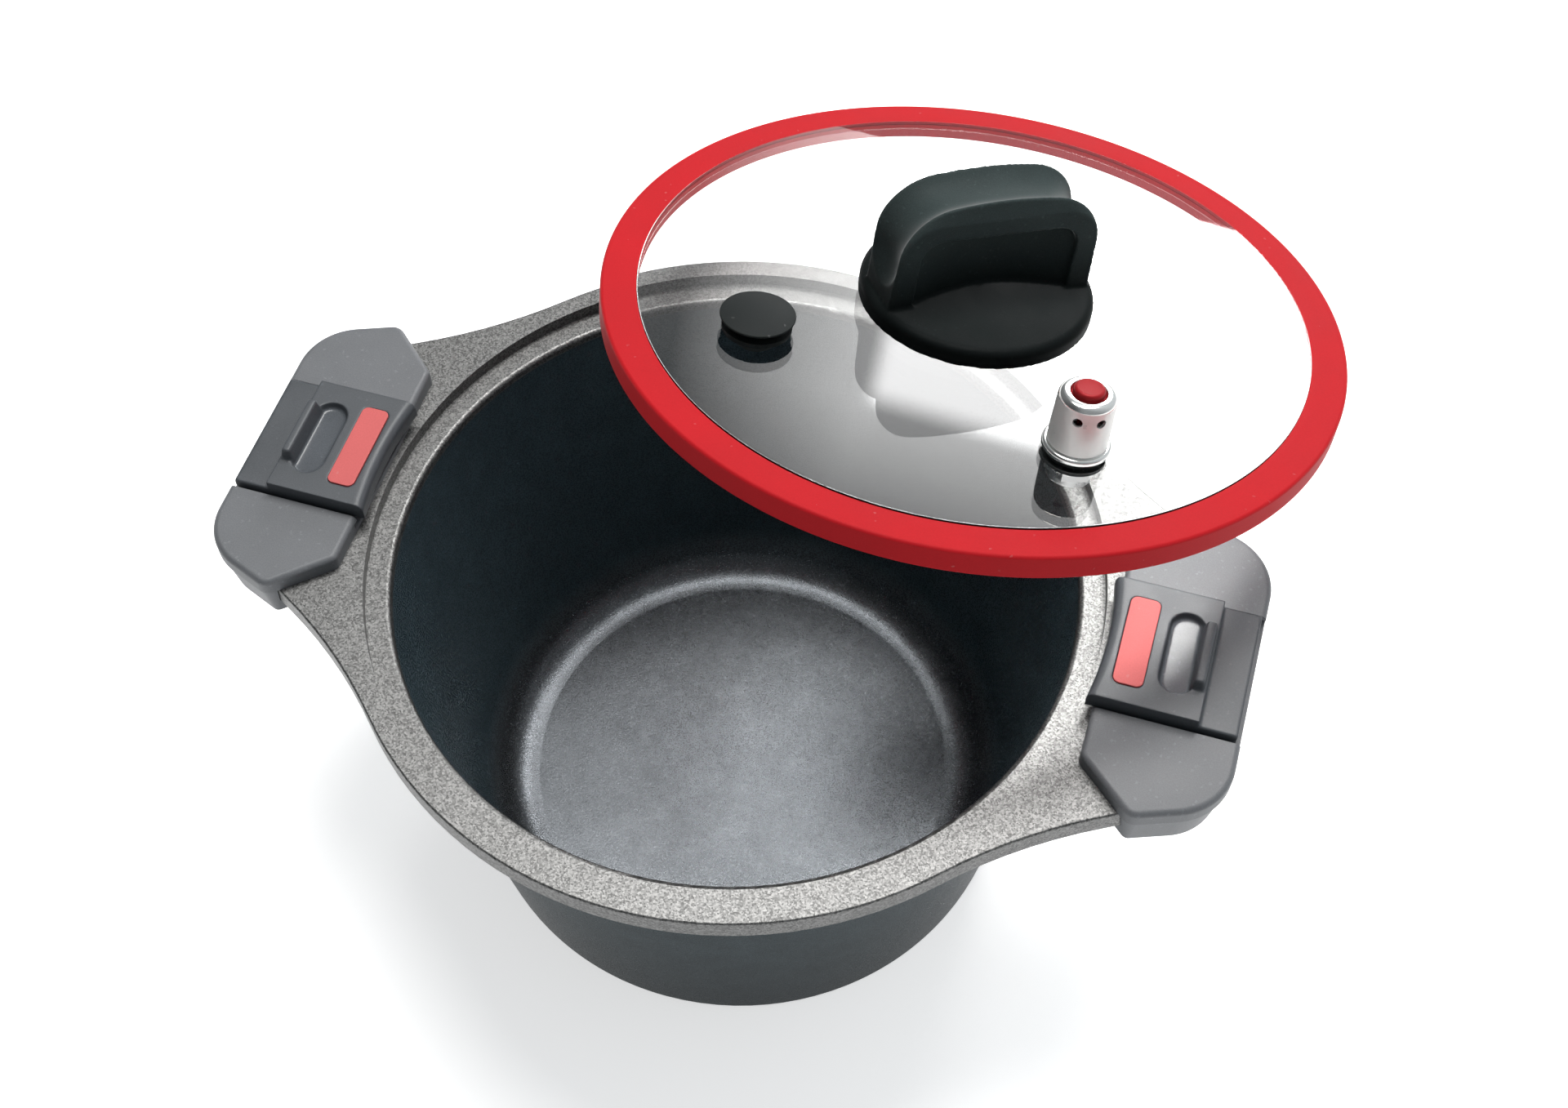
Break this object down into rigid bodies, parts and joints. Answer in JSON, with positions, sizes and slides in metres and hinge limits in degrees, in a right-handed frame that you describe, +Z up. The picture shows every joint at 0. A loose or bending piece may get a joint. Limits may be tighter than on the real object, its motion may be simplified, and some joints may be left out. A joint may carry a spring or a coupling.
{
  "type": "stovetop pressure cooker",
  "caption": "Low-pressure stovetop cooker: cast pot with eared rim, glass lid in a red silicone ring with knob, steam valve and plug, and a sliding lid latch in each handle.",
  "frame": {"origin": "centre of the pot's flat base", "axes": "+Z up, +X along the handles towards the right-hand handle of the picture, +Y away from the viewer"},
  "size_m": [0.365, 0.3492, 0.2596],
  "materials": {
    "pot_coating": "speckled grey non-stick coating on cast aluminium",
    "handle_plastic": "fine-grained dark grey heat-proof plastic",
    "latch_plastic": "satin dark grey plastic",
    "inlay_coral": "soft coral red",
    "ring_silicone": "matte red silicone",
    "lid_glass": "clear tempered glass",
    "knob_plastic": "satin black heat-proof plastic",
    "black_rubber": "matte black rubber",
    "valve_chrome": "polished chrome",
    "button_red": "red anodised",
    "steel": "plain steel"
  },
  "bodies": {
    "pot": {"pot_body": "pot_coating", "left_handle_upper": "handle_plastic", "left_handle_lower": "handle_plastic", "left_handle_screws": "steel", "left_latch_stop_pin": "steel", "right_handle_upper": "handle_plastic", "right_handle_lower": "handle_plastic", "right_handle_screws": "steel", "right_latch_stop_pin": "steel"},
    "left_latch": {"left_latch_slide": "latch_plastic", "left_latch_inlay": "inlay_coral"},
    "right_latch": {"right_latch_slide": "latch_plastic", "right_latch_inlay": "inlay_coral"},
    "valve_ball": {"valve_ball": "steel"},
    "lid": {"lid_glass": "lid_glass", "lid_ring": "ring_silicone", "knob": "knob_plastic", "knob_gasket": "black_rubber", "knob_under_gasket": "black_rubber", "knob_washer": "steel", "knob_screw": "steel", "valve_body": "valve_chrome", "valve_gasket": "black_rubber", "valve_under_gasket": "black_rubber", "valve_nut": "valve_chrome", "valve_cap": "valve_chrome", "valve_spring": "steel", "safety_plug": "black_rubber"},
    "valve_button": {"valve_button": "button_red"}
  },
  "joints": [
    {"name": "lid_lift", "type": "hinge", "parent": "pot", "child": "valve_ball", "pos_m": [0.08004, -0.00916, 0.15215], "axis": [-0.8073, 0.5902, 0], "range_deg": [-123.19, 0]},
    {"name": "lid_level", "type": "hinge", "parent": "valve_ball", "child": "lid", "pos_m": [0.10541, 0.02555, 0.21788], "axis": [-0.8425, 0.5275, -0.1092], "range_deg": [0, 110.43]},
    {"name": "left_latch", "type": "slide", "parent": "pot", "child": "left_latch", "axis": [1, 0, 0], "range_m": [0, 0.007]},
    {"name": "right_latch", "type": "slide", "parent": "pot", "child": "right_latch", "axis": [-1, 0, 0], "range_m": [0, 0.007]},
    {"name": "valve_button", "type": "slide", "parent": "lid", "child": "valve_button", "axis": [-0.029, -0.247, -0.9686], "range_m": [0, 0.0015], "stiffness_N_per_m": 600, "deforming": ["valve_spring"]}
  ],
  "couplings": [
    {"joint": "lid_level", "follows": "lid_lift", "ratio": -0.8964}
  ]
}
